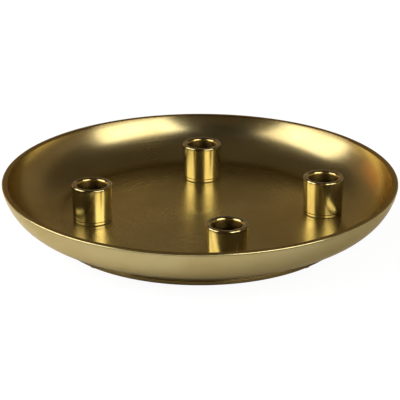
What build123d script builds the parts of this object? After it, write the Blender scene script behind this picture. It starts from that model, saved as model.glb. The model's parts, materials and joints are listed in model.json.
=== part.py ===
from build123d import *
import os

os.makedirs("parts", exist_ok=True)

# Candle plate: a cast and turned iron dish on a foot ring, with four candle cups that stand on its
# floor, each held there by a magnet in its base.
# Millimetres, +Z up, origin at the middle of the resting face, the side nearest the viewer at -Y.

# Dish, outside
plate_radius = 150.0
plate_height = 40.0
wall_run = 21.0
knee_height = 12.5
foot_setback = 38.0
foot_height = 3.0
foot_width = 10.0
foot_neck_depth = 0.8
foot_neck_height = 0.7
foot_edge_radius = 0.5

# Dish, inside and under the floor
rim_width = 4.4
rim_edge_radius = 0.6
floor_setback = 3.6
floor_thickness = 3.0
recess_depth = 7.0
recess_corner_radius = 3.0

# Felt pads under the foot ring
pad_thickness = 1.0
pad_margin = 1.0
pad_edge_radius = 0.3
pad_angles = {"back_right": 45.0, "back_left": 135.0, "front_left": 225.0, "front_right": 315.0}

# Candle cups, for a candle 22 mm thick
candle_radius = 11.0
candle_clearance = 0.25
cup_wall = 4.25
cup_height = 28.6
cup_draft = 0.75
cup_base_thickness = 8.4
cup_lip_outer_radius = 1.3
cup_lip_inner_radius = 2.2
cup_bore_corner_radius = 0.8
cup_foot_edge_radius = 0.5
cup_groove_height = 2.0
cup_groove_width = 0.5
cup_groove_depth = 0.25

# Where the cups stand, as shares of the furthest place at which a cup finds flat floor
cup_place_shares = {
    "left": (-0.865, -0.126),
    "back": (0.016, 0.845),
    "right": (0.999, 0.037),
    "front": (0.204, -0.964),
}

# Magnet in the base of each cup, its countersunk M3 screw and the felt disc under it
magnet_radius = 10.0
magnet_thickness = 3.0
magnet_edge_chamfer = 0.3
screw_radius = 1.5
screw_length = 6.0
screw_tip_chamfer = 0.3
screw_head_radius = 2.75
screw_head_rim = 0.3
screw_head_sink = 0.2
drive_arm_length = 3.0
drive_arm_width = 0.7
drive_depth = 1.0
drive_taper = 10.0
felt_thickness = 0.3
felt_margin = 0.2

# Clearances
magnet_clearance = 0.1
hole_clearance = 0.2
seat_clearance = 0.05
thread_clearance = 0.05
tapped_end_space = 0.8
cut_overrun = 1.0

# Worked out from the sizes above
foot_z = pad_thickness
rim_z = foot_z + plate_height
ceiling_z = foot_z + recess_depth
floor_z = ceiling_z + floor_thickness
knee_radius = plate_radius - wall_run
foot_radius = plate_radius - foot_setback
recess_radius = foot_radius - foot_width
floor_flat_radius = foot_radius - floor_setback
bore_radius = candle_radius + candle_clearance
cup_top_radius = bore_radius + cup_wall
cup_base_radius = cup_top_radius - cup_draft
cup_contact_radius = cup_base_radius - cup_foot_edge_radius
cup_low_z = floor_z + felt_thickness
cup_top_z = cup_low_z + cup_height
magnet_low_z = cup_low_z + magnet_clearance
magnet_top_z = magnet_low_z + magnet_thickness
screw_low_z = magnet_low_z + screw_head_sink
screw_tip_z = screw_low_z + screw_length
cup_reach = floor_flat_radius - cup_contact_radius
cup_places = {
    side: (share_x * cup_reach, share_y * cup_reach)
    for side, (share_x, share_y) in cup_place_shares.items()
}


def turned(outline):
    """The solid that a closed outline of radius and height sweeps about the vertical axis."""
    return revolve(Plane.XZ * make_face(outline), axis=Axis.Z)


def upright_cylinder(radius, height, low_z):
    """A cylinder about the vertical axis that stands on the height low_z."""
    return Pos(0, 0, low_z) * Cylinder(radius, height, align=(Align.CENTER, Align.CENTER, Align.MIN))


def circles_at(solid, radius, height):
    """The round edges about the vertical axis that have this radius and lie at this height."""
    near = min(rim_edge_radius, pad_edge_radius, foot_edge_radius) / 10
    rings = solid.edges().filter_by(GeomType.CIRCLE)
    return [
        ring
        for ring in rings
        if abs(ring.radius - radius) < near and abs(ring.arc_center.Z - height) < near
    ]


def make_plate():
    """The dish: hollow foot ring, flat floor and a wall that curves up to a flat rim."""
    neck_radius = foot_radius - foot_neck_depth
    neck_low_z = foot_z + foot_height
    neck_high_z = neck_low_z + foot_neck_height
    knee = (knee_radius, foot_z + knee_height)
    rim_outer = (plate_radius, rim_z)
    rim_inner = (plate_radius - rim_width, rim_z)
    floor_edge = (floor_flat_radius, floor_z)

    underside = Polyline(
        (0, ceiling_z),
        (recess_radius, ceiling_z),
        (recess_radius, foot_z),
        (foot_radius, foot_z),
        (foot_radius, neck_low_z),
        (neck_radius, neck_low_z),
        (neck_radius, neck_high_z),
        knee,
    )
    outer_wall = TangentArc(knee, rim_outer, tangent=underside % 1)
    rim = Line(rim_outer, rim_inner)
    inner_wall = TangentArc(floor_edge, rim_inner, tangent=(1, 0))
    floor = Polyline(floor_edge, (0, floor_z), (0, ceiling_z))
    plate = turned([underside, outer_wall, rim, inner_wall, floor])

    plate = fillet(circles_at(plate, recess_radius, ceiling_z), recess_corner_radius)
    foot_edges = circles_at(plate, foot_radius, foot_z) + circles_at(plate, recess_radius, foot_z)
    plate = fillet(foot_edges, foot_edge_radius)
    rim_edges = circles_at(plate, rim_outer[0], rim_z) + circles_at(plate, rim_inner[0], rim_z)
    return fillet(rim_edges, rim_edge_radius)


def make_cup():
    """One candle cup: a tapered barrel, its bore above and the magnet's recess below."""
    bore_floor_z = cup_low_z + cup_base_thickness
    pocket_radius = magnet_radius + magnet_clearance
    barrel = Polyline(
        (0, magnet_top_z),
        (pocket_radius, magnet_top_z),
        (pocket_radius, cup_low_z),
        (cup_base_radius, cup_low_z),
        (cup_top_radius, cup_top_z),
        (bore_radius, cup_top_z),
        (bore_radius, bore_floor_z),
        (0, bore_floor_z),
        close=True,
    )
    cup = turned(barrel)
    cup = fillet(circles_at(cup, cup_base_radius, cup_low_z), cup_foot_edge_radius)
    cup = fillet(circles_at(cup, cup_top_radius, cup_top_z), cup_lip_outer_radius)
    cup = fillet(circles_at(cup, bore_radius, cup_top_z), cup_lip_inner_radius)
    cup = fillet(circles_at(cup, bore_radius, bore_floor_z), cup_bore_corner_radius)

    groove_z = cup_low_z + cup_groove_height
    groove_radius = cup_base_radius + cup_draft * cup_groove_height / cup_height - cup_groove_depth
    groove = upright_cylinder(cup_top_radius + cut_overrun, cup_groove_width, groove_z)
    groove -= upright_cylinder(groove_radius, cup_groove_width, groove_z)
    tapped_low_z = magnet_top_z - cut_overrun
    tapped_height = screw_tip_z + tapped_end_space - tapped_low_z
    tapped_hole = upright_cylinder(screw_radius + thread_clearance, tapped_height, tapped_low_z)
    return cup - groove - tapped_hole


def make_magnet():
    """The disc magnet, with a countersunk hole for its screw."""
    hole_radius = screw_radius + hole_clearance
    mouth_radius = screw_head_radius + seat_clearance
    cone_low_z = screw_low_z + screw_head_rim
    section = Polyline(
        (mouth_radius, magnet_low_z),
        (magnet_radius, magnet_low_z),
        (magnet_radius, magnet_top_z),
        (hole_radius, magnet_top_z),
        (hole_radius, cone_low_z + mouth_radius - hole_radius),
        (mouth_radius, cone_low_z),
        close=True,
    )
    magnet = turned(section)
    low_edges = circles_at(magnet, magnet_radius, magnet_low_z)
    top_edges = circles_at(magnet, magnet_radius, magnet_top_z)
    return chamfer(low_edges + top_edges, magnet_edge_chamfer)


def make_screw():
    """The countersunk screw that holds a magnet, head down, with a cross drive."""
    cone_low_z = screw_low_z + screw_head_rim
    section = Polyline(
        (0, screw_low_z),
        (screw_head_radius, screw_low_z),
        (screw_head_radius, cone_low_z),
        (screw_radius, cone_low_z + screw_head_radius - screw_radius),
        (screw_radius, screw_tip_z - screw_tip_chamfer),
        (screw_radius - screw_tip_chamfer, screw_tip_z),
        (0, screw_tip_z),
        close=True,
    )
    arm = Rectangle(drive_arm_length, drive_arm_width)
    cross = Pos(0, 0, screw_low_z) * (arm + Rot(0, 0, 90) * arm)
    return turned(section) - extrude(cross, amount=drive_depth, taper=drive_taper)


def make_felt():
    """The felt disc that covers a magnet and keeps a cup's base off the dish's finish."""
    return upright_cylinder(cup_contact_radius - felt_margin, felt_thickness, floor_z)


def make_foot_pad():
    """A round felt pad under the middle of the foot ring, at the angle zero."""
    pad_radius = foot_width / 2 - pad_margin
    pad = upright_cylinder(pad_radius, pad_thickness, 0)
    pad = fillet(circles_at(pad, pad_radius, 0), pad_edge_radius)
    return Pos(foot_radius - foot_width / 2, 0, 0) * pad


def save(node, solid):
    """Write one piece under its node's name."""
    solid.label = node
    export_step(solid, f"parts/{node}.step")


save("plate", make_plate())
cup_pieces = {
    "candle_cup": make_cup(),
    "cup_magnet": make_magnet(),
    "magnet_screw": make_screw(),
    "cup_felt": make_felt(),
}
for side, (x, y) in cup_places.items():
    for name, piece in cup_pieces.items():
        save(f"{name}_{side}", Pos(x, y, 0) * piece)
foot_pad = make_foot_pad()
for corner, angle in pad_angles.items():
    save(f"foot_pad_{corner}", Rot(0, 0, angle) * foot_pad)
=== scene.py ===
"""Candle plate: the looks of a turned dish on a foot ring and of the four candle cups that stand in it.

Every length is in metres, +Z is up, and the viewer stands on the side of -Y.
"""

import json
import math

import bpy
import numpy as np
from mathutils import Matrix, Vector

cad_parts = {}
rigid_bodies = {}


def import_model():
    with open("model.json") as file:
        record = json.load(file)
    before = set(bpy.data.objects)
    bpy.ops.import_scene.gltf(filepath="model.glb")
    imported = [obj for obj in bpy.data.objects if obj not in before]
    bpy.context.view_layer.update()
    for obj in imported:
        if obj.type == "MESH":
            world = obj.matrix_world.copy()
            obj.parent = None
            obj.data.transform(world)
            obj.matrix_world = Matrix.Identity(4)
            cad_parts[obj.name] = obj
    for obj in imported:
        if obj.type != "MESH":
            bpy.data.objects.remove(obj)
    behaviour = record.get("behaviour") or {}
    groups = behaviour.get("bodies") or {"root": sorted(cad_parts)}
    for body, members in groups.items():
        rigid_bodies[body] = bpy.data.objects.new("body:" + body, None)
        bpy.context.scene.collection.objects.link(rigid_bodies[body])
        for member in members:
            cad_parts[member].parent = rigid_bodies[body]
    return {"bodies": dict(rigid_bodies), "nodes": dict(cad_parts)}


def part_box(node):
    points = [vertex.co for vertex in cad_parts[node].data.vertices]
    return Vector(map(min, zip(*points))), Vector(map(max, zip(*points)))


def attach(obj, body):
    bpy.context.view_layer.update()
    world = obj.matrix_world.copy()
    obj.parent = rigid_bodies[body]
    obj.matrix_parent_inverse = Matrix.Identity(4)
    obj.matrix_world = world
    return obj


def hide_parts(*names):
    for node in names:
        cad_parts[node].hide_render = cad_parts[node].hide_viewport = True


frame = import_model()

bl_info = {
    "name": "Candle Plate",
    "version": (1, 0, 0),
    "blender": (4, 5, 0),
    "location": "3D View > Sidebar > Candle Plate",
    "description": "Dresses a candle plate: dish, cups, felt, magnets and studio",
    "category": "Add Mesh",
}

MM = 0.001
CUP_SIDES = [body.removeprefix("cup_") for body in frame["bodies"] if body.startswith("cup_")]
FOOT_PADS = [node for node in frame["nodes"] if node.startswith("foot_pad_")]
FIRST_CUP = f"candle_cup_{CUP_SIDES[0]}"

# Points round each turned piece
DISH_SEGMENTS = 480
CUP_SEGMENTS = 160
FELT_SEGMENTS = 144

# Steps along the arcs and lines of a profile
SMALL_CORNER_STEPS = 3
CORNER_STEPS = 6
RECESS_STEPS = 8
LIP_STEPS = 10
BARREL_POINTS = 10
OUTER_WALL_STEPS = 36
INNER_WALL_STEPS = 46

# How far a corner's last points stand out on the flats beside it, as a share of its radius, to keep
# the flats flat in the shading
SHOULDER_SHARE = 0.25

# Faces round and up the studio
STAGE_SEGMENTS = 96
WALL_ROWS = 40

FELT_SEED = 7
WHITE = (1.0, 1.0, 1.0, 1.0)

# Sockets of the Mix node when it mixes colours
MIX_A = 6
MIX_B = 7
MIX_RESULT = 2


def linear(code):
    """The linear colour of an sRGB hex code such as #AFA072."""
    shares = np.array([int(code[k:k + 2], 16) / 255 for k in (1, 3, 5)])
    low = shares / 12.92
    high = ((shares + 0.055) / 1.055) ** 2.4
    return tuple(np.where(shares <= 0.04045, low, high).tolist())


def length(name, description, millimetres):
    """A property that holds a length, given here in millimetres."""
    return bpy.props.FloatProperty(
        name=name, description=description, default=millimetres * MM, min=0.0, precision=5, unit="LENGTH"
    )


def colour(name, description, code):
    """A property that holds a colour, given here as an sRGB hex code."""
    return bpy.props.FloatVectorProperty(
        name=name, description=description, default=linear(code), min=0.0, max=1.0, size=3, subtype="COLOR"
    )


def share(name, description, default):
    """A property that holds a number from 0 to 1."""
    return bpy.props.FloatProperty(
        name=name, description=description, default=default, min=0.0, max=1.0, subtype="FACTOR"
    )


def level(name, description, default):
    """A property that holds a light's radiance."""
    return bpy.props.FloatProperty(name=name, description=description, default=default, min=0.0)


def heights(node):
    """The lowest and the highest height of a node of the frame, in millimetres."""
    low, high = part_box(node)
    return low.z / MM, high.z / MM


DISH_LOW_Z, DISH_HIGH_Z = heights("plate")
CUP_LOW_Z, CUP_HIGH_Z = heights(FIRST_CUP)


class DishSettings(bpy.types.PropertyGroup):
    """Sizes and colours of the dish."""

    radius: length("Radius", "Radius of the dish at its rim, before the edge is rounded", 150.0)
    rim_z: length("Rim Height", "Height of the rim above the table", DISH_HIGH_Z)
    foot_z: length("Foot Clearance", "Height of the foot ring above the table, on its pads", DISH_LOW_Z)
    wall_run: length("Wall Run", "How far the curved wall reaches in from the rim, outside", 21.0)
    knee_height: length("Knee Height", "Height above the foot where the curved wall starts, outside", 12.5)
    foot_radius: length("Foot Radius", "Outer radius of the foot ring", 112.0)
    foot_height: length("Foot Height", "Height of the foot ring's outer face", 3.0)
    foot_width: length("Foot Width", "Width of the foot ring's resting face", 10.0)
    neck_depth: length("Neck Depth", "How far the neck above the foot ring stands back", 0.8)
    neck_height: length("Neck Height", "Height of the neck above the foot ring", 0.7)
    neck_edge_radius: length("Neck Edge Radius", "Rounding of the neck's corners", 0.18)
    foot_edge_radius: length("Foot Edge Radius", "Rounding of the foot ring's edges", 0.5)
    rim_width: length("Rim Width", "Width of the flat rim", 4.4)
    rim_edge_radius: length("Rim Edge Radius", "Rounding of the rim's edges", 0.6)
    floor_setback: length("Floor Setback", "How far the flat floor ends inside the foot's radius", 3.6)
    floor_thickness: length("Floor Thickness", "Thickness of the floor", 3.0)
    recess_depth: length("Recess Depth", "Depth of the hollow under the floor", 7.0)
    recess_corner_radius: length("Recess Corner Radius", "Rounding inside the hollow under the floor", 3.0)
    brass: colour("Satin Brass", "Colour of the brushed brass plating under its lacquer", "#AFA072")
    tarnish: colour("Tarnish", "Colour of the plating where it has aged under the lacquer", "#9F8C5A")
    bright: colour("Bright Edge", "Colour of the plating where the edges are rubbed bright", "#C8BA84")
    cast: colour("Cast Underside", "Colour of the plated casting that was never turned", "#7C6D42")
    edge: colour("Grazing Brass", "Tint of the plating where it is seen at a shallow angle", "#FBEFD2")
    # Painted shade: the rim colour is darker than the brass, to darken the rim's flat and inner edge and the
    # foot and neck.
    rim: colour("Rim", "Colour of the plating on the rim and the foot, darkened by handling", "#8A7649")
    roughness: share("Roughness", "Roughness of the brushed finish", 0.22)
    floor_roughness: share("Floor Roughness", "Roughness of the floor, scuffed by cups and candles", 0.28)
    grain: share("Grain", "How much the brushed lines spread the light across them", 0.3)


class CupSettings(bpy.types.PropertyGroup):
    """Sizes and colours of the candle cups."""

    radius: length("Radius", "Outer radius of a cup at its top, before the lip is rounded", 15.5)
    low_z: length("Base Height", "Height of a cup's base above the table", CUP_LOW_Z)
    top_z: length("Top Height", "Height of a cup's top above the table", CUP_HIGH_Z)
    wall: length("Wall", "Thickness of a cup's wall at its top", 4.25)
    draft: length("Draft", "How much smaller the radius is at the base", 0.75)
    base_thickness: length("Base Thickness", "Height of the bore's floor above the base", 8.4)
    lip_outer_radius: length("Outer Lip Radius", "Rounding of the lip outside", 1.3)
    lip_inner_radius: length("Inner Lip Radius", "Rounding of the lip inside", 2.2)
    bore_corner_radius: length("Bore Corner Radius", "Rounding at the bore's floor", 0.8)
    foot_edge_radius: length("Base Edge Radius", "Rounding of the base's outer edge", 0.5)
    groove_height: length("Groove Height", "Height of the turned groove above the base", 2.0)
    groove_width: length("Groove Width", "Width of the turned groove", 0.5)
    groove_depth: length("Groove Depth", "Depth of the turned groove", 0.25)
    small_edge_radius: length("Small Edge Radius", "Rounding of the groove's and the pocket's edges", 0.08)
    pocket_radius: length("Pocket Radius", "Radius of the magnet's pocket in the base", 10.1)
    pocket_depth: length("Pocket Depth", "Depth of the magnet's pocket", 3.1)
    tapped_radius: length("Tapped Hole Radius", "Radius of the magnet screw's hole", 1.55)
    tapped_depth: length("Tapped Hole Depth", "Depth of the magnet screw's hole above the pocket", 4.0)
    brass: colour("Polished Brass", "Colour of the polished brass", "#DBD1A2")
    handled: colour("Handled Brass", "Colour of the brass where hands have dulled it", "#C9BD8B")
    # Painted shade: the lip's colour is darker than the polished brass, to darken the lip.
    lip: colour("Lip", "Colour of the brass of the lip, greyed by wax", "#95875A")
    groove: colour("Groove", "Colour of the brass in the groove", "#7A6234")
    patina: colour("Patina", "Colour of the brass in the pocket", "#5F4A22")
    # Painted shade in the bore: its colour goes from the mouth colour to the dark colour at the depth below
    # the lip.
    bore: colour("Bore", "Colour of the bored brass near the mouth", "#C9A85A")
    bore_shade: colour("Soot", "Colour of the bored brass deep inside, darkened by soot and wax", "#3C2A10")
    bore_shade_depth: length("Soot Depth", "Depth below the lip where the soot is full", 7.0)
    edge: colour("Grazing Brass", "Tint of the brass where it is seen at a shallow angle", "#FFFFFF")
    roughness: share("Roughness", "Roughness of the polished finish", 0.13)
    grain: share("Grain", "How much the polishing lines spread the light across them", 0.5)


class FeltSettings(bpy.types.PropertyGroup):
    """Sizes and colours of the felt."""

    edge_radius: length("Edge Radius", "Rounding of the felt's cut edge", 0.1)
    edge_fuzz: length("Edge Fuzz", "How far the fibres make the cut edge wander", 0.06)
    wool: colour("Wool", "Colour of the felt", "#6A5A46")
    fibre: colour("Loose Fibre", "Colour of the lighter fibres in the felt", "#8C7B63")


class MetalSettings(bpy.types.PropertyGroup):
    """Colours of the magnets and their screws."""

    nickel: colour("Nickel", "Colour of the magnets' nickel plating", "#D5D2CB")
    zinc: colour("Zinc", "Colour of the screws' zinc plating", "#C9CBD0")


class StageSettings(bpy.types.PropertyGroup):
    """Camera, lamps, walls and floor of the studio."""

    lens: bpy.props.FloatProperty(
        name="Lens", description="Focal length of the camera in millimetres", default=154.46, min=1.0
    )
    camera_distance: length("Camera Distance", "Distance from the camera to what it looks at", 1310.6)
    camera_target: length("Camera Target", "Height of the point that the camera looks at", 21.95)
    camera_elevation: bpy.props.FloatProperty(
        name="Camera Elevation",
        description="Angle of the camera above the table",
        default=math.radians(21.508),
        unit="ROTATION",
    )
    left_level: level("Left Softbox Level", "Radiance of the softbox at the left", 3.6)
    right_level: level("Right Softbox Level", "Radiance of the softbox at the right", 4.2)
    back_floor_level: level("Back Floor Light Level", "Radiance of the light on the floor from behind", 6.4)
    overhead_floor_level: level(
        "Overhead Floor Light Level", "Radiance of the light on the floor from above", 2.0
    )
    right_floor_level: level(
        "Right Floor Light Level", "Radiance of the light on the floor at the right", 3.0
    )
    wall_level: level("Wall Level", "Radiance of the dim studio walls near the table", 0.3)
    wall: colour("Walls", "Colour of the dim studio walls", "#FFE5C2")
    lamp_glow: colour("Lamp Glow", "Colour that a warm lamp throws on the walls low at the left", "#FFA040")
    glow_level: level("Lamp Glow Level", "Radiance of the warm lamp's light on the walls", 0.8)
    door_glow: colour("Door Glow", "Colour of the daylight that comes in low at the left", "#FFE4B8")
    door_level: level("Door Glow Level", "Radiance of the daylight low at the left", 0.9)
    floor: colour("Floor", "Colour of the floor", "#CBCBCB")


def swung(centre, spoke, angles):
    """Points at centre + spoke turned by each angle, with the spoke's own length as the radius."""
    square = np.array([-spoke[1], spoke[0]])
    return centre + np.outer(np.cos(angles), spoke) + np.outer(np.sin(angles), square)


def unit(line):
    """A direction of length one."""
    line = np.asarray(line, float)
    return line / np.hypot(*line)


def rounded(corner, arriving, leaving, radius, steps=CORNER_STEPS):
    """A rounded corner between two straight lines of a profile.

    Its arc touches the arriving line at the distance radius * tan(turn / 2) before the corner, has its
    centre one radius to the side that the line turns to, and ends on the leaving line. One more point
    stands on each line beside it.
    """
    arriving, leaving = unit(arriving), unit(leaving)
    turn = math.atan2(arriving[0] * leaving[1] - arriving[1] * leaving[0], arriving @ leaving)
    reach = radius * math.tan(abs(turn) / 2)
    side = np.sign(turn) * np.array([-arriving[1], arriving[0]])
    touch = corner - arriving * reach
    arc = swung(touch + side * radius, -side * radius, np.linspace(0, turn, steps + 1))
    shoulder = reach + radius * SHOULDER_SHARE
    return np.vstack([corner - arriving * shoulder, arc, corner + leaving * shoulder])


def tangent_arc(start, heading, end, steps, trim=0.0):
    """The arc that leaves start along heading and runs to end, and its direction at the end.

    Its signed radius is chord squared over twice the chord's part at right angles to the heading, and
    it turns by twice the angle between heading and chord. trim is a length that is left off at the end.
    """
    heading = unit(heading)
    side = np.array([-heading[1], heading[0]])
    chord = np.asarray(end) - start
    radius = chord @ chord / (2 * side @ chord)
    turn = 2 * math.atan2(side @ chord, heading @ chord)
    points = swung(start + side * radius, -side * radius, np.linspace(0, turn - trim / radius, steps + 1))
    return points, np.array([math.cos(turn), math.sin(turn)]) @ np.array([heading, side])


def outline(corners, radii, steps=CORNER_STEPS):
    """A profile of straight lines with each inner corner rounded by its own radius."""
    corners = [np.array(corner) for corner in corners]
    inner = [
        rounded(here, here - before, after - here, radius, steps)
        for before, here, after, radius in zip(corners, corners[1:], corners[2:], radii)
    ]
    return np.vstack([corners[0], *inner, corners[-1]])


def new_mesh(name, points, corners, sizes):
    """A smooth mesh from its points, the point numbers of all faces in a row and each face's size."""
    mesh = bpy.data.meshes.new(name)
    mesh.vertices.add(len(points))
    mesh.vertices.foreach_set("co", points.astype(np.float32).ravel())
    mesh.loops.add(len(corners))
    mesh.loops.foreach_set("vertex_index", corners.astype(np.int32))
    mesh.polygons.add(len(sizes))
    starts = np.concatenate([[0], np.cumsum(sizes)[:-1]])
    mesh.polygons.foreach_set("loop_start", starts.astype(np.int32))
    mesh.update(calc_edges=True)
    mesh.polygons.foreach_set("use_smooth", np.ones(len(sizes), bool))
    return mesh


def turned_piece(name, stretches, centre, segments, materials, ripple=None):
    """A turned piece about the vertical line through centre, from a profile of radius and height.

    The profile's point (r, z) and the angle a give the point (x + r cos a, y + r sin a, z). The profile
    starts and ends on the axis, with the material on its left, and each end closes in one point. Each
    stretch of it has its points, a share for its rubbed edges and its painted shade, and its material's
    number. ripple is a function of a and z that is added to the radius. The attribute turned holds
    (cos a, sin a, distance along the profile), and the attribute wear_and_shade that share.
    """
    profile = np.vstack([points for points, _, _ in stretches])
    wear_and_shade = np.concatenate([np.full(len(points), worn_and_shaded) for points, worn_and_shaded, _ in stretches])
    finish = np.concatenate([np.full(len(points), number) for points, _, number in stretches])
    along = np.concatenate([[0], np.cumsum(np.hypot(*np.diff(profile, axis=0).T))])

    angles = np.arange(segments) * 2 * math.pi / segments
    radius = np.repeat(profile[1:-1, :1], segments, axis=1)
    height = np.repeat(profile[1:-1, 1:], segments, axis=1)
    if ripple is not None:
        radius = radius + ripple(angles, height)
    cos, sin = np.broadcast_to(np.cos(angles), radius.shape), np.broadcast_to(np.sin(angles), radius.shape)
    rings = np.stack([centre[0] + radius * cos, centre[1] + radius * sin, height], axis=2).reshape(-1, 3)
    poles = np.array([[*centre, profile[0, 1]], [*centre, profile[-1, 1]]])

    count = len(profile) - 2
    ring, step = np.arange(count - 1)[:, None] * segments, np.arange(segments)
    ahead = (step + 1) % segments
    quads = np.stack([ring + step, ring + ahead, ring + segments + ahead, ring + segments + step], axis=2)
    low_pole, high_pole = count * segments, count * segments + 1
    last = (count - 1) * segments
    low_fan = np.stack([np.full(segments, low_pole), ahead, step], axis=1)
    high_fan = np.stack([last + step, last + ahead, np.full(segments, high_pole)], axis=1)
    corners = np.concatenate([quads.ravel(), low_fan.ravel(), high_fan.ravel()])
    sizes = np.concatenate([np.full((count - 1) * segments, 4), np.full(2 * segments, 3)])
    mesh = new_mesh(name, np.vstack([rings, poles]), corners, sizes)

    numbers = np.concatenate([
        np.repeat(finish[1:-2], segments), np.full(segments, finish[0]), np.full(segments, finish[-1])
    ])
    mesh.polygons.foreach_set("material_index", numbers.astype(np.int32))
    spokes = np.stack([cos, sin, np.repeat(along[1:-1, None], segments, axis=1)], axis=2).reshape(-1, 3)
    spokes = np.vstack([spokes, [[0, 0, along[0]], [0, 0, along[-1]]]])
    turned = mesh.attributes.new("turned", "FLOAT_VECTOR", "POINT")
    turned.data.foreach_set("vector", spokes.astype(np.float32).ravel())
    wear_and_shade_values = np.concatenate([np.repeat(wear_and_shade[1:-1], segments), [wear_and_shade[0], wear_and_shade[-1]]])
    mesh.attributes.new("wear_and_shade", "FLOAT", "POINT").data.foreach_set("value", wear_and_shade_values.astype(np.float32))

    for material in materials:
        mesh.materials.append(material)
    piece = bpy.data.objects.new(name, mesh)
    bpy.context.scene.collection.objects.link(piece)
    return piece


def add_node(tree, kind, settings=None, links=None):
    """Add one node, with its options and input values set and its inputs linked to outputs."""
    node = tree.nodes.new(kind)
    for key, value in (settings or {}).items():
        if isinstance(key, str) and hasattr(node, key):
            setattr(node, key, value)
        else:
            node.inputs[key].default_value = value
    for key, output in (links or {}).items():
        tree.links.new(output, node.inputs[key])
    return node


def new_material(name):
    """A material, its node tree, and the socket in it that gives the place on the object."""
    material = bpy.data.materials.new(name)
    material.use_nodes = True
    tree = material.node_tree
    tree.nodes.clear()
    return material, tree, add_node(tree, "ShaderNodeTexCoord").outputs["Object"]


def opaque(values):
    """A colour with the alpha of one that a socket takes."""
    return (*values, 1.0)


def turned_metal(name, colours, roughness, grain, pitch, depth, dull_share):
    """Metal turned on a lathe: the tool's lines run round the piece.

    Its colours are its own, that where hands or age have dulled it, that laid by the wear_and_shade
    attribute (rubbed edges on the dish, painted shade on the cups' lips and bores), and its tint at a
    shallow angle. grain is how much the lines spread the light across them, pitch their spacing in
    metres, depth their height, and dull_share how far the dull clouds go.
    """
    base, dull, worn_and_shaded, edge = colours
    material, tree, place = new_material(name)
    turned = add_node(tree, "ShaderNodeAttribute", {"attribute_name": "turned"})
    wear_and_shade = add_node(tree, "ShaderNodeAttribute", {"attribute_name": "wear_and_shade"})

    # The tool's lines: they wander slowly round the piece and change quickly along its profile.
    wander = 2.5
    stretch = add_node(
        tree, "ShaderNodeVectorMath", {"operation": "MULTIPLY", 1: (wander, wander, 1 / pitch)},
        {0: turned.outputs["Vector"]},
    )
    lines = add_node(
        tree, "ShaderNodeTexNoise", {"Scale": 1.0, "Detail": 3.0, "Roughness": 0.6},
        {"Vector": stretch.outputs["Vector"]},
    )
    # Broad clouds where the surface is a little duller
    cloud_size = 45 * MM
    clouds = add_node(
        tree, "ShaderNodeTexNoise", {"Scale": 1 / cloud_size, "Detail": 4.0, "Roughness": 0.55},
        {"Vector": place},
    )
    dulled = add_node(
        tree, "ShaderNodeMapRange", {"From Min": 0.4, "From Max": 0.75, "To Max": dull_share},
        {"Value": clouds.outputs[0]},
    )
    aged = add_node(
        tree, "ShaderNodeMix", {"data_type": "RGBA", MIX_A: opaque(base), MIX_B: opaque(dull)},
        {0: dulled.outputs["Result"]},
    )
    # The wear_and_shade colour goes on unevenly, in patches: rubbed edges on the dish, painted shade on the
    # cups' lips and bores.
    patch_size = 3 * MM
    patches = add_node(tree, "ShaderNodeTexNoise", {"Scale": 1 / patch_size}, {"Vector": place})
    patchy = add_node(
        tree, "ShaderNodeMapRange", {"From Min": 0.3, "From Max": 0.6, "To Min": 0.35},
        {"Value": patches.outputs[0]},
    )
    wear_and_shade_mask = add_node(
        tree, "ShaderNodeMath", {"operation": "MULTIPLY"},
        {0: wear_and_shade.outputs["Fac"], 1: patchy.outputs["Result"]},
    )
    tone = add_node(
        tree, "ShaderNodeMix", {"data_type": "RGBA", MIX_B: opaque(worn_and_shaded)},
        {0: wear_and_shade_mask.outputs["Value"], MIX_A: aged.outputs[MIX_RESULT]},
    )
    # Roughness: a little more in the dull clouds and along some lines, less where wear_and_shade is high
    cloud_matting, rub_polish = 0.06, 0.3
    line_gloss = add_node(
        tree, "ShaderNodeMapRange",
        {"From Min": 0.3, "From Max": 0.7, "To Min": roughness * 0.9, "To Max": roughness * 1.1},
        {"Value": lines.outputs[0]},
    )
    cloud_gloss = add_node(
        tree, "ShaderNodeMath", {"operation": "MULTIPLY_ADD", 1: cloud_matting},
        {0: dulled.outputs["Result"], 2: line_gloss.outputs["Result"]},
    )
    gloss = add_node(
        tree, "ShaderNodeMath", {"operation": "MULTIPLY_ADD", 1: -rub_polish * roughness},
        {0: wear_and_shade_mask.outputs["Value"], 2: cloud_gloss.outputs["Value"]},
    )
    bump = add_node(tree, "ShaderNodeBump", {"Distance": depth}, {"Height": lines.outputs[0]})
    # The lines run along (-sin a, cos a, 0), and the light spreads at right angles to them.
    round_way = add_node(
        tree, "ShaderNodeVectorMath", {"operation": "CROSS_PRODUCT", 0: (0.0, 0.0, 1.0)},
        {1: turned.outputs["Vector"]},
    )
    shader = add_node(
        tree, "ShaderNodeBsdfPrincipled",
        {"Metallic": 1.0, "Specular Tint": opaque(edge), "Anisotropic": grain, "Anisotropic Rotation": 0.25},
        {
            "Base Color": tone.outputs[MIX_RESULT],
            "Roughness": gloss.outputs["Value"],
            "Normal": bump.outputs["Normal"],
            "Tangent": round_way.outputs["Vector"],
        },
    )
    add_node(tree, "ShaderNodeOutputMaterial", links={"Surface": shader.outputs["BSDF"]})
    return material


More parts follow.
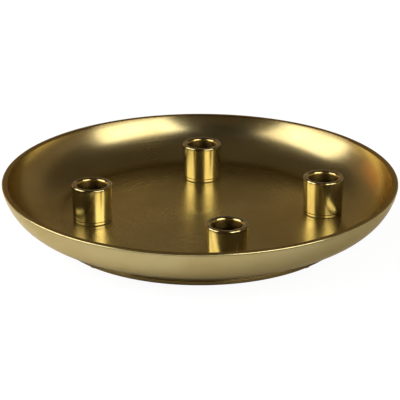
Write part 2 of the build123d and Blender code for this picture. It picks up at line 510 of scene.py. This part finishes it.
def cast_metal(name, base, dark, roughness, grain, depth):
    """Metal left as it was cast: pitted by the sand, with darker hollows. grain is the sand's size."""
    pits_per_grain = 0.35
    material, tree, place = new_material(name)
    sand = add_node(
        tree, "ShaderNodeTexNoise", {"Scale": 1 / grain, "Detail": 5.0, "Roughness": 0.65}, {"Vector": place}
    )
    pits = add_node(tree, "ShaderNodeTexVoronoi", {"Scale": pits_per_grain / grain}, {"Vector": place})
    hollow = add_node(tree, "ShaderNodeMapRange", {"From Max": 0.3}, {"Value": pits.outputs["Distance"]})
    height = add_node(
        tree, "ShaderNodeMath", {"operation": "MULTIPLY"}, {0: sand.outputs[0], 1: hollow.outputs["Result"]},
    )
    tone = add_node(
        tree, "ShaderNodeMix", {"data_type": "RGBA", MIX_A: opaque(dark), MIX_B: opaque(base)},
        {0: height.outputs["Value"]},
    )
    gloss = add_node(
        tree, "ShaderNodeMapRange",
        {"From Max": 0.8, "To Min": roughness * 1.2, "To Max": roughness * 0.9},
        {"Value": height.outputs["Value"]},
    )
    bump = add_node(tree, "ShaderNodeBump", {"Distance": depth}, {"Height": height.outputs["Value"]})
    shader = add_node(
        tree, "ShaderNodeBsdfPrincipled", {"Metallic": 1.0},
        {
            "Base Color": tone.outputs[MIX_RESULT],
            "Roughness": gloss.outputs["Result"],
            "Normal": bump.outputs["Normal"],
        },
    )
    add_node(tree, "ShaderNodeOutputMaterial", links={"Surface": shader.outputs["BSDF"]})
    return material


def pressed_felt(felt):
    """Pressed wool felt: a mat of fibres with a soft sheen and no gloss."""
    # Wool fibres are 0.03 mm thick. They are drawn 0.2 mm wide so that they show.
    fibre_width, tuft_size, mat_depth = 0.2 * MM, 1.5 * MM, 0.08 * MM
    material, tree, place = new_material("pressed_wool_felt")
    fibres = add_node(
        tree, "ShaderNodeTexNoise",
        {"Scale": 1 / fibre_width, "Detail": 4.0, "Roughness": 0.7, "Distortion": 1.5},
        {"Vector": place},
    )
    tufts = add_node(tree, "ShaderNodeTexNoise", {"Scale": 1 / tuft_size}, {"Vector": place})
    mat = add_node(
        tree, "ShaderNodeMath", {"operation": "MULTIPLY"}, {0: fibres.outputs[0], 1: tufts.outputs[0]},
    )
    light = add_node(
        tree, "ShaderNodeMapRange", {"From Min": 0.15, "From Max": 0.4}, {"Value": mat.outputs["Value"]},
    )
    tone = add_node(
        tree, "ShaderNodeMix", {"data_type": "RGBA", MIX_A: opaque(felt.wool), MIX_B: opaque(felt.fibre)},
        {0: light.outputs["Result"]},
    )
    gloss = add_node(tree, "ShaderNodeMapRange", {"To Min": 0.85}, {"Value": tufts.outputs[0]})
    bump = add_node(tree, "ShaderNodeBump", {"Distance": mat_depth}, {"Height": mat.outputs["Value"]})
    shader = add_node(
        tree, "ShaderNodeBsdfPrincipled",
        {"Sheen Weight": 0.4, "Sheen Tint": opaque(felt.fibre)},
        {
            "Base Color": tone.outputs[MIX_RESULT],
            "Roughness": gloss.outputs["Result"],
            "Normal": bump.outputs["Normal"],
        },
    )
    add_node(tree, "ShaderNodeOutputMaterial", links={"Surface": shader.outputs["BSDF"]})
    return material


def plated_metal(name, base, roughness, grain, depth):
    """Plated metal: bright, with the fine orange peel of the plating and stains ten times as broad."""
    stains_per_grain, stain_dullness = 0.1, 0.6
    material, tree, place = new_material(name)
    peel = add_node(tree, "ShaderNodeTexNoise", {"Scale": 1 / grain, "Detail": 3.0}, {"Vector": place})
    stains = add_node(
        tree, "ShaderNodeTexNoise", {"Scale": stains_per_grain / grain, "Detail": 4.0}, {"Vector": place}
    )
    stained = add_node(
        tree, "ShaderNodeMapRange", {"From Min": 0.45, "From Max": 0.8, "To Max": 0.5},
        {"Value": stains.outputs[0]},
    )
    dull = tuple(stain_dullness * value for value in base)
    tone = add_node(
        tree, "ShaderNodeMix", {"data_type": "RGBA", MIX_A: opaque(base), MIX_B: opaque(dull)},
        {0: stained.outputs["Result"]},
    )
    gloss = add_node(
        tree, "ShaderNodeMapRange",
        {"From Min": 0.3, "From Max": 0.7, "To Min": roughness * 0.8, "To Max": roughness * 1.3},
        {"Value": peel.outputs[0]},
    )
    bump = add_node(tree, "ShaderNodeBump", {"Distance": depth}, {"Height": peel.outputs[0]})
    shader = add_node(
        tree, "ShaderNodeBsdfPrincipled", {"Metallic": 1.0},
        {
            "Base Color": tone.outputs[MIX_RESULT],
            "Roughness": gloss.outputs["Result"],
            "Normal": bump.outputs["Normal"],
        },
    )
    add_node(tree, "ShaderNodeOutputMaterial", links={"Surface": shader.outputs["BSDF"]})
    return material


def dish_stretches(dish):
    """The dish's profile, from the middle of its underside out, over the rim and in to its middle.

    Straight lines under the floor and round the foot, a cone, an arc that leaves the cone without a
    corner and ends at the rim, the flat rim, and an arc that comes down to the flat floor.
    """
    ceiling_z = dish.foot_z + dish.recess_depth
    floor_z = ceiling_z + dish.floor_thickness
    recess_radius = dish.foot_radius - dish.foot_width
    floor_radius = dish.foot_radius - dish.floor_setback
    neck_radius = dish.foot_radius - dish.neck_depth
    neck_z = dish.foot_z + dish.foot_height
    cone_start = np.array([neck_radius, neck_z + dish.neck_height])
    knee = np.array([dish.radius - dish.wall_run, dish.foot_z + dish.knee_height])
    rim_outer = np.array([dish.radius, dish.rim_z])
    rim_inner = np.array([dish.radius - dish.rim_width, dish.rim_z])
    floor_edge = np.array([floor_radius, floor_z])
    inward, outward = np.array([-1.0, 0.0]), np.array([1.0, 0.0])

    # Rings on the flats and the cone, and how many edge radii before the rim its walls end
    ceiling_shares = (0, 0.02, 0.3, 0.6, 0.9)
    cone_shares = (0.75, 0.93)
    floor_shares = (0.985, 0.9, 0.6, 0.3, 0.02, 0)
    flat_start_share = 0.125
    outer_trim_share, inner_trim_share = 1.3, 1.5

    ceiling = [(part * recess_radius, ceiling_z) for part in ceiling_shares]
    hollow = rounded((recess_radius, ceiling_z), (1, 0), (0, -1), dish.recess_corner_radius, RECESS_STEPS)
    foot_inner = rounded((recess_radius, dish.foot_z), (0, -1), (1, 0), dish.foot_edge_radius)
    foot_outer = rounded((dish.foot_radius, dish.foot_z), (1, 0), (0, 1), dish.foot_edge_radius)
    neck = outline(
        [
            (dish.foot_radius, dish.foot_z + dish.foot_height / 2),
            (dish.foot_radius, neck_z),
            (neck_radius, neck_z),
            cone_start,
            cone_start + (knee - cone_start) / 2,
        ],
        [dish.neck_edge_radius] * 3,
        SMALL_CORNER_STEPS,
    )
    cone = np.array([cone_start + (knee - cone_start) * part for part in cone_shares])

    outer_trim = dish.rim_edge_radius * outer_trim_share
    inner_trim = dish.rim_edge_radius * inner_trim_share
    outer_wall, outer_end = tangent_arc(knee, knee - cone_start, rim_outer, OUTER_WALL_STEPS, outer_trim)
    inner_wall, inner_end = tangent_arc(floor_edge, outward, rim_inner, INNER_WALL_STEPS, inner_trim)
    outer_edge = rounded(rim_outer, outer_end, inward, dish.rim_edge_radius)
    flat_start = [(dish.radius - dish.rim_edge_radius - dish.rim_width * flat_start_share, dish.rim_z)]
    inner_edge = rounded(rim_inner, inward, -inner_end, dish.rim_edge_radius)
    floor = [(part * floor_radius, floor_z) for part in floor_shares]
    # faced lays the darker rim colour, painted shade, on the rim's flat, its inner edge, the foot and the
    # neck.
    cast, turned, faced, scuffed = 0, 1, 2, 3
    return [
        (ceiling, 0, cast),
        (hollow, 0, cast),
        (foot_inner, 0.6, turned),
        (foot_outer, 0, faced),
        (neck, 0, faced),
        (cone, 0, turned),
        (outer_wall, 0, turned),
        (outer_edge, 1, turned),
        (flat_start, 0, faced),
        (inner_edge, 0, faced),
        (inner_wall[::-1], 0, turned),
        (floor, 0, scuffed),
    ]


def cup_stretches(cup):
    """A cup's profile, from the end of its tapped hole out over the pocket, up its side and down the bore.

    The side is a slightly tapered straight line with a square groove turned above the base. The lip's
    last points, which lie in the bore, have the bore's finish.
    """
    bore_floor_shares = (0.6, 0.3, 0.02, 0)
    mouth_points = 5
    base_radius = cup.radius - cup.draft
    bore_radius = cup.radius - cup.wall
    bore_z = cup.low_z + cup.base_thickness
    pocket_z = cup.low_z + cup.pocket_depth
    height = cup.top_z - cup.low_z

    def side(z):
        """The side's radius at a height."""
        return base_radius + cup.draft * (z - cup.low_z) / height

    groove_z = cup.low_z + cup.groove_height
    groove_top_z = groove_z + cup.groove_width
    groove_radius = side(groove_z) - cup.groove_depth
    small, wide = cup.small_edge_radius, 3 * cup.small_edge_radius
    pocket = outline(
        [
            (0, pocket_z + cup.tapped_depth),
            (cup.tapped_radius, pocket_z + cup.tapped_depth),
            (cup.tapped_radius, pocket_z),
            (cup.pocket_radius, pocket_z),
            (cup.pocket_radius, cup.low_z),
            ((cup.pocket_radius + base_radius) / 2, cup.low_z),
        ],
        [wide, small, wide, wide],
        SMALL_CORNER_STEPS,
    )
    base_edge = rounded((base_radius, cup.low_z), (1, 0), (cup.draft, height), cup.foot_edge_radius)
    groove = outline(
        [
            (side(groove_z - cup.groove_width), groove_z - cup.groove_width),
            (side(groove_z), groove_z),
            (groove_radius, groove_z),
            (groove_radius, groove_top_z),
            (side(groove_top_z), groove_top_z),
            (side(groove_top_z + cup.groove_width), groove_top_z + cup.groove_width),
        ],
        [small] * 4,
        SMALL_CORNER_STEPS,
    )
    lip_outer = rounded(
        (cup.radius, cup.top_z), (cup.draft, height), (-1, 0), cup.lip_outer_radius, LIP_STEPS
    )
    lip_inner = rounded((bore_radius, cup.top_z), (-1, 0), (0, -1), cup.lip_inner_radius, LIP_STEPS)
    bore_corner = rounded((bore_radius, bore_z), (0, -1), (-1, 0), cup.bore_corner_radius)

    barrel_low_z, barrel_high_z = groove_top_z + 2 * cup.groove_width, cup.top_z - 2 * cup.lip_outer_radius
    barrel_heights = np.linspace(barrel_low_z, barrel_high_z, BARREL_POINTS)
    barrel = np.stack([side(barrel_heights), barrel_heights], axis=1)
    bore_high_z, bore_low_z = cup.top_z - 2 * cup.lip_inner_radius, bore_z + 2 * cup.bore_corner_radius
    bore_heights = np.linspace(bore_high_z, bore_low_z, BARREL_POINTS)
    bore = np.stack([np.full(BARREL_POINTS, bore_radius), bore_heights], axis=1)
    bore_floor = [(part * bore_radius, bore_z) for part in bore_floor_shares]
    # Painted shade: the bore is bright at its mouth and darkens with depth below it.
    bright = np.clip(1 - (cup.top_z - cup.lip_inner_radius - bore_heights) / cup.bore_shade_depth, 0, 1)
    raw, polished, bored = 0, 1, 2
    return [
        (pocket, 0, raw),
        (base_edge, 0, polished),
        (groove[:2], 0, polished),
        (groove[2:-2], 0, raw),
        (groove[-2:], 0, polished),
        (barrel, 0, polished),
        # The lip's share of 1 lays the darker lip colour on it, as painted shade.
        (lip_outer, 1, polished),
        (lip_inner[:-mouth_points], 1, polished),
        (lip_inner[-mouth_points:], 1, bored),
        (bore, bright, bored),
        (bore_corner, 0, bored),
        (bore_floor, 0, bored),
    ]


def disc_stretches(radius, low_z, high_z, edge_radius):
    """The profile of a flat disc with rounded edges, from the middle of its underside to that of its top."""
    low = rounded((radius, low_z), (1, 0), (0, 1), edge_radius)
    high = rounded((radius, high_z), (0, 1), (-1, 0), edge_radius)
    flat_shares = (0, 0.1, 0.5, 0.8)
    under = [(part * radius, low_z) for part in flat_shares]
    over = [(part * radius, high_z) for part in flat_shares[::-1]]
    return [(under, 0, 0), (low, 0, 0), (high, 0, 0), (over, 0, 0)]


def fuzzy_edge(depth, low_z, high_z, random):
    """How far fibres make a cut edge stand back, as a function of the angle and the height.

    A mean of waves round the edge, each with its own phase and its own drift with the height.
    """
    waves = np.arange(5, 60, 5)
    phases = random.uniform(0, 2 * math.pi, (2, len(waves)))

    def fuzz(angles, height):
        """The edge's distance from its full radius, as zero or less."""
        lift = (height - low_z) / (high_z - low_z)
        swing = waves * angles[:, None] + phases[0] + phases[1] * lift[..., None]
        return depth * (np.sin(swing).mean(axis=2) - 1)

    return fuzz


class CANDLEPLATE_OT_dish(bpy.types.Operator):
    """Make the dish with its foot ring, curved wall and rim"""

    bl_idname = "candle_plate.dish"
    bl_label = "Dish"

    def execute(self, context):
        dish = context.scene.candle_plate_dish
        # Cast iron, turned, brass plated, brushed to a satin and lacquered. The brush's lines are
        # 0.1 mm apart, drawn 1.1 mm apart so that they show.
        brushed = {"pitch": 1.1 * MM, "depth": 0.004 * MM}
        satin_brushed = {"grain": dish.grain, "dull_share": 0.8, **brushed}
        plating = (dish.brass, dish.tarnish, dish.bright, dish.edge)
        satin = turned_metal("brushed_brass_plating", plating, dish.roughness, **satin_brushed)
        # The flat rim and the foot are faced with a pointed tool, whose rings spread the light across them.
        # Their darker colour is painted shade.
        faced = turned_metal(
            "faced_brass_rim_painted_shade", (dish.rim, dish.tarnish, dish.bright, dish.edge),
            roughness=0.25, grain=0.85, dull_share=0.3, **brushed,
        )
        # Cups and candles slid over the floor have taken some of its gloss.
        scuffed = turned_metal("scuffed_brass_floor", plating, dish.floor_roughness, **satin_brushed)
        # The hollow under the floor isn't turned: the sand's grain stays under the plating.
        cast = cast_metal(
            "sand_cast_brass_plating", dish.cast, tuple(0.5 * value for value in dish.cast),
            roughness=0.45, grain=0.9 * MM, depth=0.08 * MM,
        )
        finishes = [cast, satin, faced, scuffed]
        piece = turned_piece("satin_dish", dish_stretches(dish), (0, 0), DISH_SEGMENTS, finishes)
        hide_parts("plate")
        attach(piece, "dish")
        return {"FINISHED"}


class CANDLEPLATE_OT_cups(bpy.types.Operator):
    """Make the four polished candle cups"""

    bl_idname = "candle_plate.cups"
    bl_label = "Candle Cups"

    def execute(self, context):
        cup = context.scene.candle_plate_cups
        # Solid brass, turned and polished: bright, with faint lines of the polishing cloth that are
        # drawn 0.8 mm apart so that they show. The lip is painted darker, as shade.
        polished = turned_metal(
            "polished_turned_brass", (cup.brass, cup.handled, cup.lip, cup.edge),
            roughness=cup.roughness, grain=cup.grain, pitch=0.8 * MM, depth=0.0015 * MM, dull_share=0.7,
        )
        # The pocket and the groove are left from the tool and have darkened.
        raw = turned_metal(
            "tarnished_brass", (cup.groove, cup.patina, cup.handled, cup.edge),
            roughness=0.4, grain=0.0, pitch=0.4 * MM, depth=0.01 * MM, dull_share=0.5,
        )
        # The bore is left from the boring bar, whose lines are coarser, and its colour is painted darker deep
        # down, as shade.
        bored = turned_metal(
            "bored_brass", (cup.bore_shade, cup.patina, cup.bore, cup.edge),
            roughness=0.42, grain=0.4, pitch=0.5 * MM, depth=0.006 * MM, dull_share=0.4,
        )
        for side in CUP_SIDES:
            low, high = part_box(f"candle_cup_{side}")
            centre = (low + high) / 2
            piece = turned_piece(
                f"polished_cup_{side}", cup_stretches(cup), centre[:2], CUP_SEGMENTS, [raw, polished, bored]
            )
            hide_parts(f"candle_cup_{side}")
            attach(piece, f"cup_{side}")
        return {"FINISHED"}


class CANDLEPLATE_OT_felt(bpy.types.Operator):
    """Make the felt discs under the cups and the felt pads under the foot ring"""

    bl_idname = "candle_plate.felt"
    bl_label = "Felt"

    def execute(self, context):
        felt = context.scene.candle_plate_felt
        material = pressed_felt(felt)
        random = np.random.default_rng(FELT_SEED)
        nodes = {f"cup_felt_{side}": f"cup_{side}" for side in CUP_SIDES}
        nodes.update({node: "dish" for node in FOOT_PADS})
        for node, body in nodes.items():
            low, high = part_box(node)
            centre, radius = (low + high) / 2, (high.x - low.x) / 2
            fuzz = fuzzy_edge(felt.edge_fuzz, low.z, high.z, random)
            stretches = disc_stretches(radius, low.z, high.z, felt.edge_radius)
            name = node.replace("cup_felt", "felt_disc").replace("foot_pad", "felt_foot")
            piece = turned_piece(name, stretches, centre[:2], FELT_SEGMENTS, [material], fuzz)
            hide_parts(node)
            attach(piece, body)
        return {"FINISHED"}


class CANDLEPLATE_OT_metal(bpy.types.Operator):
    """Finish the magnets and the screws that hold them"""

    bl_idname = "candle_plate.metal"
    bl_label = "Magnets and Screws"

    def execute(self, context):
        metal = context.scene.candle_plate_metal
        # A sintered magnet, tumbled and nickel plated: bright with a fine orange peel
        nickel = plated_metal(
            "nickel_plated_magnet", metal.nickel, roughness=0.18, grain=0.5 * MM, depth=0.004 * MM
        )
        # A cold-headed steel screw, zinc plated: bluish and a little dull
        zinc = plated_metal(
            "zinc_plated_steel", metal.zinc, roughness=0.32, grain=0.25 * MM, depth=0.004 * MM
        )
        for side in CUP_SIDES:
            for node, material in ((f"cup_magnet_{side}", nickel), (f"magnet_screw_{side}", zinc)):
                mesh = frame["nodes"][node].data
                mesh.materials.clear()
                mesh.materials.append(material)
        return {"FINISHED"}


def direction(azimuth, elevation):
    """The unit vector (cos e sin a, cos e cos a, sin e) of two angles in degrees."""
    around, up = math.radians(azimuth), math.radians(elevation)
    return math.cos(up) * math.sin(around), math.cos(up) * math.cos(around), math.sin(up)


def floor_material(stage):
    """Matt white paper: it shows white to the camera, and keeps the object's shadow."""
    fibre_size, fibre_dullness = 2 * MM, 0.97
    white_share, white_level = 0.9, 1.05
    material, tree, place = new_material("matt_white_paper")
    grain = add_node(tree, "ShaderNodeTexNoise", {"Scale": 1 / fibre_size, "Detail": 3.0}, {"Vector": place})
    darker = tuple(fibre_dullness * value for value in stage.floor)
    tone = add_node(
        tree, "ShaderNodeMix", {"data_type": "RGBA", MIX_A: opaque(stage.floor), MIX_B: opaque(darker)},
        {0: grain.outputs[0]},
    )
    paper = add_node(tree, "ShaderNodeBsdfDiffuse", links={"Color": tone.outputs[MIX_RESULT]})
    white = add_node(tree, "ShaderNodeEmission", {"Color": WHITE, "Strength": white_level})
    path = add_node(tree, "ShaderNodeLightPath")
    seen = add_node(
        tree, "ShaderNodeMath", {"operation": "MULTIPLY", 1: white_share}, {0: path.outputs["Is Camera Ray"]},
    )
    mixed = add_node(
        tree, "ShaderNodeMixShader",
        links={0: seen.outputs["Value"], 1: paper.outputs["BSDF"], 2: white.outputs["Emission"]},
    )
    add_node(tree, "ShaderNodeOutputMaterial", links={"Surface": mixed.outputs["Shader"]})
    return material


def wall_material(stage, radius):
    """Dim studio walls: lighter near the table, darker overhead and in front, with two glows at the left."""
    light_below, dim_above = radius * math.sin(math.radians(22)), radius * math.sin(math.radians(38))
    overhead_share, front_share, front_y = 0.36, 0.3, -radius * 0.75
    soft = {"interpolation_type": "SMOOTHSTEP"}
    material, tree, place = new_material("dim_studio_walls")
    parts = add_node(tree, "ShaderNodeSeparateXYZ", links={0: place})
    rise = add_node(
        tree, "ShaderNodeMapRange",
        {**soft, "From Min": light_below, "From Max": dim_above, "To Min": 1.0, "To Max": overhead_share},
        {"Value": parts.outputs["Z"]},
    )
    side = add_node(
        tree, "ShaderNodeMapRange",
        {**soft, "From Min": front_y, "From Max": 0.0, "To Min": front_share},
        {"Value": parts.outputs["Y"]},
    )
    dimming = add_node(
        tree, "ShaderNodeMath", {"operation": "MULTIPLY"},
        {0: rise.outputs["Result"], 1: side.outputs["Result"]},
    )
    strength = add_node(
        tree, "ShaderNodeMath", {"operation": "MULTIPLY", 1: stage.wall_level}, {0: dimming.outputs["Value"]},
    )
    light = add_node(
        tree, "ShaderNodeEmission", {"Color": opaque(stage.wall)}, {"Strength": strength.outputs["Value"]},
    )
    # Glows: azimuth from the back towards the right, elevation, reach in wall radii, colour and level
    glows = (
        (-42.0, 4.0, 0.42, stage.lamp_glow, stage.glow_level),
        (-72.0, 2.0, 0.3, stage.door_glow, stage.door_level),
    )
    shader = light.outputs["Emission"]
    for azimuth, elevation, reach, tint, brightness in glows:
        middle = tuple(radius * part for part in direction(azimuth, elevation))
        away = add_node(tree, "ShaderNodeVectorMath", {"operation": "DISTANCE", 1: middle}, {0: place})
        glow = add_node(
            tree, "ShaderNodeMapRange",
            {**soft, "From Max": radius * reach, "To Min": brightness, "To Max": 0.0},
            {"Value": away.outputs["Value"]},
        )
        warm = add_node(
            tree, "ShaderNodeEmission", {"Color": opaque(tint)}, {"Strength": glow.outputs["Result"]},
        )
        both = add_node(tree, "ShaderNodeAddShader", links={0: shader, 1: warm.outputs["Emission"]})
        shader = both.outputs["Shader"]
    add_node(tree, "ShaderNodeOutputMaterial", links={"Surface": shader})
    return material


def shell(name, radius, low, high, columns, rows):
    """Part of a sphere seen from inside, between two elevations: (r cos e sin a, r cos e cos a, r sin e)."""
    around = np.arange(columns) * 2 * math.pi / columns
    up = np.linspace(low, high, rows)[:, None]
    points = np.stack([
        radius * np.cos(up) * np.sin(around),
        radius * np.cos(up) * np.cos(around),
        radius * np.sin(up) * np.ones(columns),
    ], axis=2).reshape(-1, 3)
    row, step = np.arange(rows - 1)[:, None] * columns, np.arange(columns)
    ahead = (step + 1) % columns
    quads = np.stack([row + step, row + ahead, row + columns + ahead, row + columns + step], axis=2)
    return new_mesh(name, points, quads.ravel(), np.full((rows - 1) * columns, 4))


def disc(name, radius, columns):
    """A flat disc on the table: a fan of triangles about the middle."""
    step = np.arange(columns)
    around = step * 2 * math.pi / columns
    ring = np.stack([radius * np.cos(around), radius * np.sin(around), np.zeros(columns)], axis=1)
    fan = np.stack([np.full(columns, columns), step, (step + 1) % columns], axis=1)
    return new_mesh(name, np.vstack([ring, [[0, 0, 0]]]), fan.ravel(), np.full(columns, 3))


class CANDLEPLATE_OT_stage(bpy.types.Operator):
    """Make the floor, the studio walls, the lamps and the camera"""

    bl_idname = "candle_plate.stage"
    bl_label = "Stage"

    def execute(self, context):
        scene = context.scene
        stage = scene.candle_plate_stage
        # The walls start just above the floor's edge, so no white background shows between them.
        wall_radius, wall_foot, wall_top = 3.0, math.radians(0.2), math.radians(90)

        floor = bpy.data.objects.new("floor", disc("floor", wall_radius, STAGE_SEGMENTS))
        floor.data.materials.append(floor_material(stage))
        dome = shell("studio_walls", wall_radius, wall_foot, wall_top, STAGE_SEGMENTS, WALL_ROWS)
        walls = bpy.data.objects.new("studio_walls", dome)
        walls.data.materials.append(wall_material(stage, wall_radius))
        walls.visible_camera = False
        for piece in (floor, walls):
            scene.collection.objects.link(piece)

        # Lamps: azimuth from the back towards the right, elevation, width, height, radiance, and whether
        # metal mirrors them. The floor lights serve the floor alone.
        lamps = {
            "softbox_left": (-100.0, 26.5, 1.56, 1.27, stage.left_level, True),
            "softbox_right": (134.5, 30.5, 1.46, 1.16, stage.right_level, True),
            "floor_light_back": (-75.0, 27.0, 1.8, 0.9, stage.back_floor_level, False),
            "floor_light_overhead": (-120.0, 62.0, 1.6, 1.6, stage.overhead_floor_level, False),
            "floor_light_right": (90.0, 28.0, 1.1, 0.6, stage.right_floor_level, False),
        }
        lamp_distance = 1.6
        target = Vector((0, 0, stage.camera_target))
        for name, (azimuth, elevation, width, height, radiance, mirrored) in lamps.items():
            light = bpy.data.lights.new(name, "AREA")
            light.shape = "RECTANGLE"
            light.size, light.size_y = width, height
            light.energy = math.pi * width * height * radiance
            way = Vector(direction(azimuth, elevation))
            lamp = bpy.data.objects.new(name, light)
            lamp.location = target + way * lamp_distance
            lamp.rotation_euler = way.to_track_quat("Z", "Y").to_euler()
            lamp.visible_camera = False
            lamp.visible_glossy = mirrored
            scene.collection.objects.link(lamp)

        # The world shows white to the camera and to mirrors, and lights nothing else.
        world = bpy.data.worlds.new("white_studio")
        world.use_nodes = True
        tree = world.node_tree
        tree.nodes.clear()
        path = add_node(tree, "ShaderNodeLightPath")
        mirrored = add_node(
            tree, "ShaderNodeMath", {"operation": "ADD", "use_clamp": True},
            {0: path.outputs["Is Glossy Ray"], 1: path.outputs["Is Transmission Ray"]},
        )
        seen = add_node(
            tree, "ShaderNodeMath", {"operation": "ADD", "use_clamp": True},
            {0: mirrored.outputs["Value"], 1: path.outputs["Is Camera Ray"]},
        )
        white = add_node(tree, "ShaderNodeBackground", {"Color": WHITE}, {"Strength": seen.outputs["Value"]})
        add_node(tree, "ShaderNodeOutputWorld", links={"Surface": white.outputs["Background"]})
        scene.world = world
        scene.view_settings.view_transform = "Standard"

        camera = bpy.data.objects.new("camera", bpy.data.cameras.new("camera"))
        camera.data.lens = stage.lens
        up = stage.camera_elevation
        back = Vector((0, -math.cos(up), math.sin(up)))
        camera.location = target + back * stage.camera_distance
        camera.rotation_euler = back.to_track_quat("Z", "Y").to_euler()
        scene.collection.objects.link(camera)
        scene.camera = camera
        return {"FINISHED"}


class CANDLEPLATE_PT_panel(bpy.types.Panel):
    """The candle plate's tools in the sidebar"""

    bl_idname = "CANDLEPLATE_PT_panel"
    bl_label = "Candle Plate"
    bl_space_type = "VIEW_3D"
    bl_region_type = "UI"
    bl_category = "Candle Plate"

    def draw(self, context):
        for operator, name, _ in STEPS:
            box = self.layout.box()
            box.operator(operator.bl_idname)
            settings = getattr(context.scene, name)
            for value in settings.bl_rna.properties.keys():
                if value not in ("rna_type", "name"):
                    box.prop(settings, value)


# Each step, its settings' name and their class, in the panel's order
STEPS = (
    (CANDLEPLATE_OT_stage, "candle_plate_stage", StageSettings),
    (CANDLEPLATE_OT_dish, "candle_plate_dish", DishSettings),
    (CANDLEPLATE_OT_cups, "candle_plate_cups", CupSettings),
    (CANDLEPLATE_OT_felt, "candle_plate_felt", FeltSettings),
    (CANDLEPLATE_OT_metal, "candle_plate_metal", MetalSettings),
)


def register():
    """Register the settings, the operators and the panel."""
    for operator, name, group in STEPS:
        bpy.utils.register_class(group)
        setattr(bpy.types.Scene, name, bpy.props.PointerProperty(type=group))
        bpy.utils.register_class(operator)
    bpy.utils.register_class(CANDLEPLATE_PT_panel)


def unregister():
    """Take the panel, the operators and the settings away again."""
    bpy.utils.unregister_class(CANDLEPLATE_PT_panel)
    for operator, name, group in reversed(STEPS):
        bpy.utils.unregister_class(operator)
        delattr(bpy.types.Scene, name)
        bpy.utils.unregister_class(group)


def main():
    """Build the scene step by step."""
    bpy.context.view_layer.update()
    register()
    bpy.ops.candle_plate.stage()
    bpy.ops.candle_plate.dish()
    bpy.ops.candle_plate.cups()
    bpy.ops.candle_plate.felt()
    bpy.ops.candle_plate.metal()


if __name__ == "__main__":
    main()
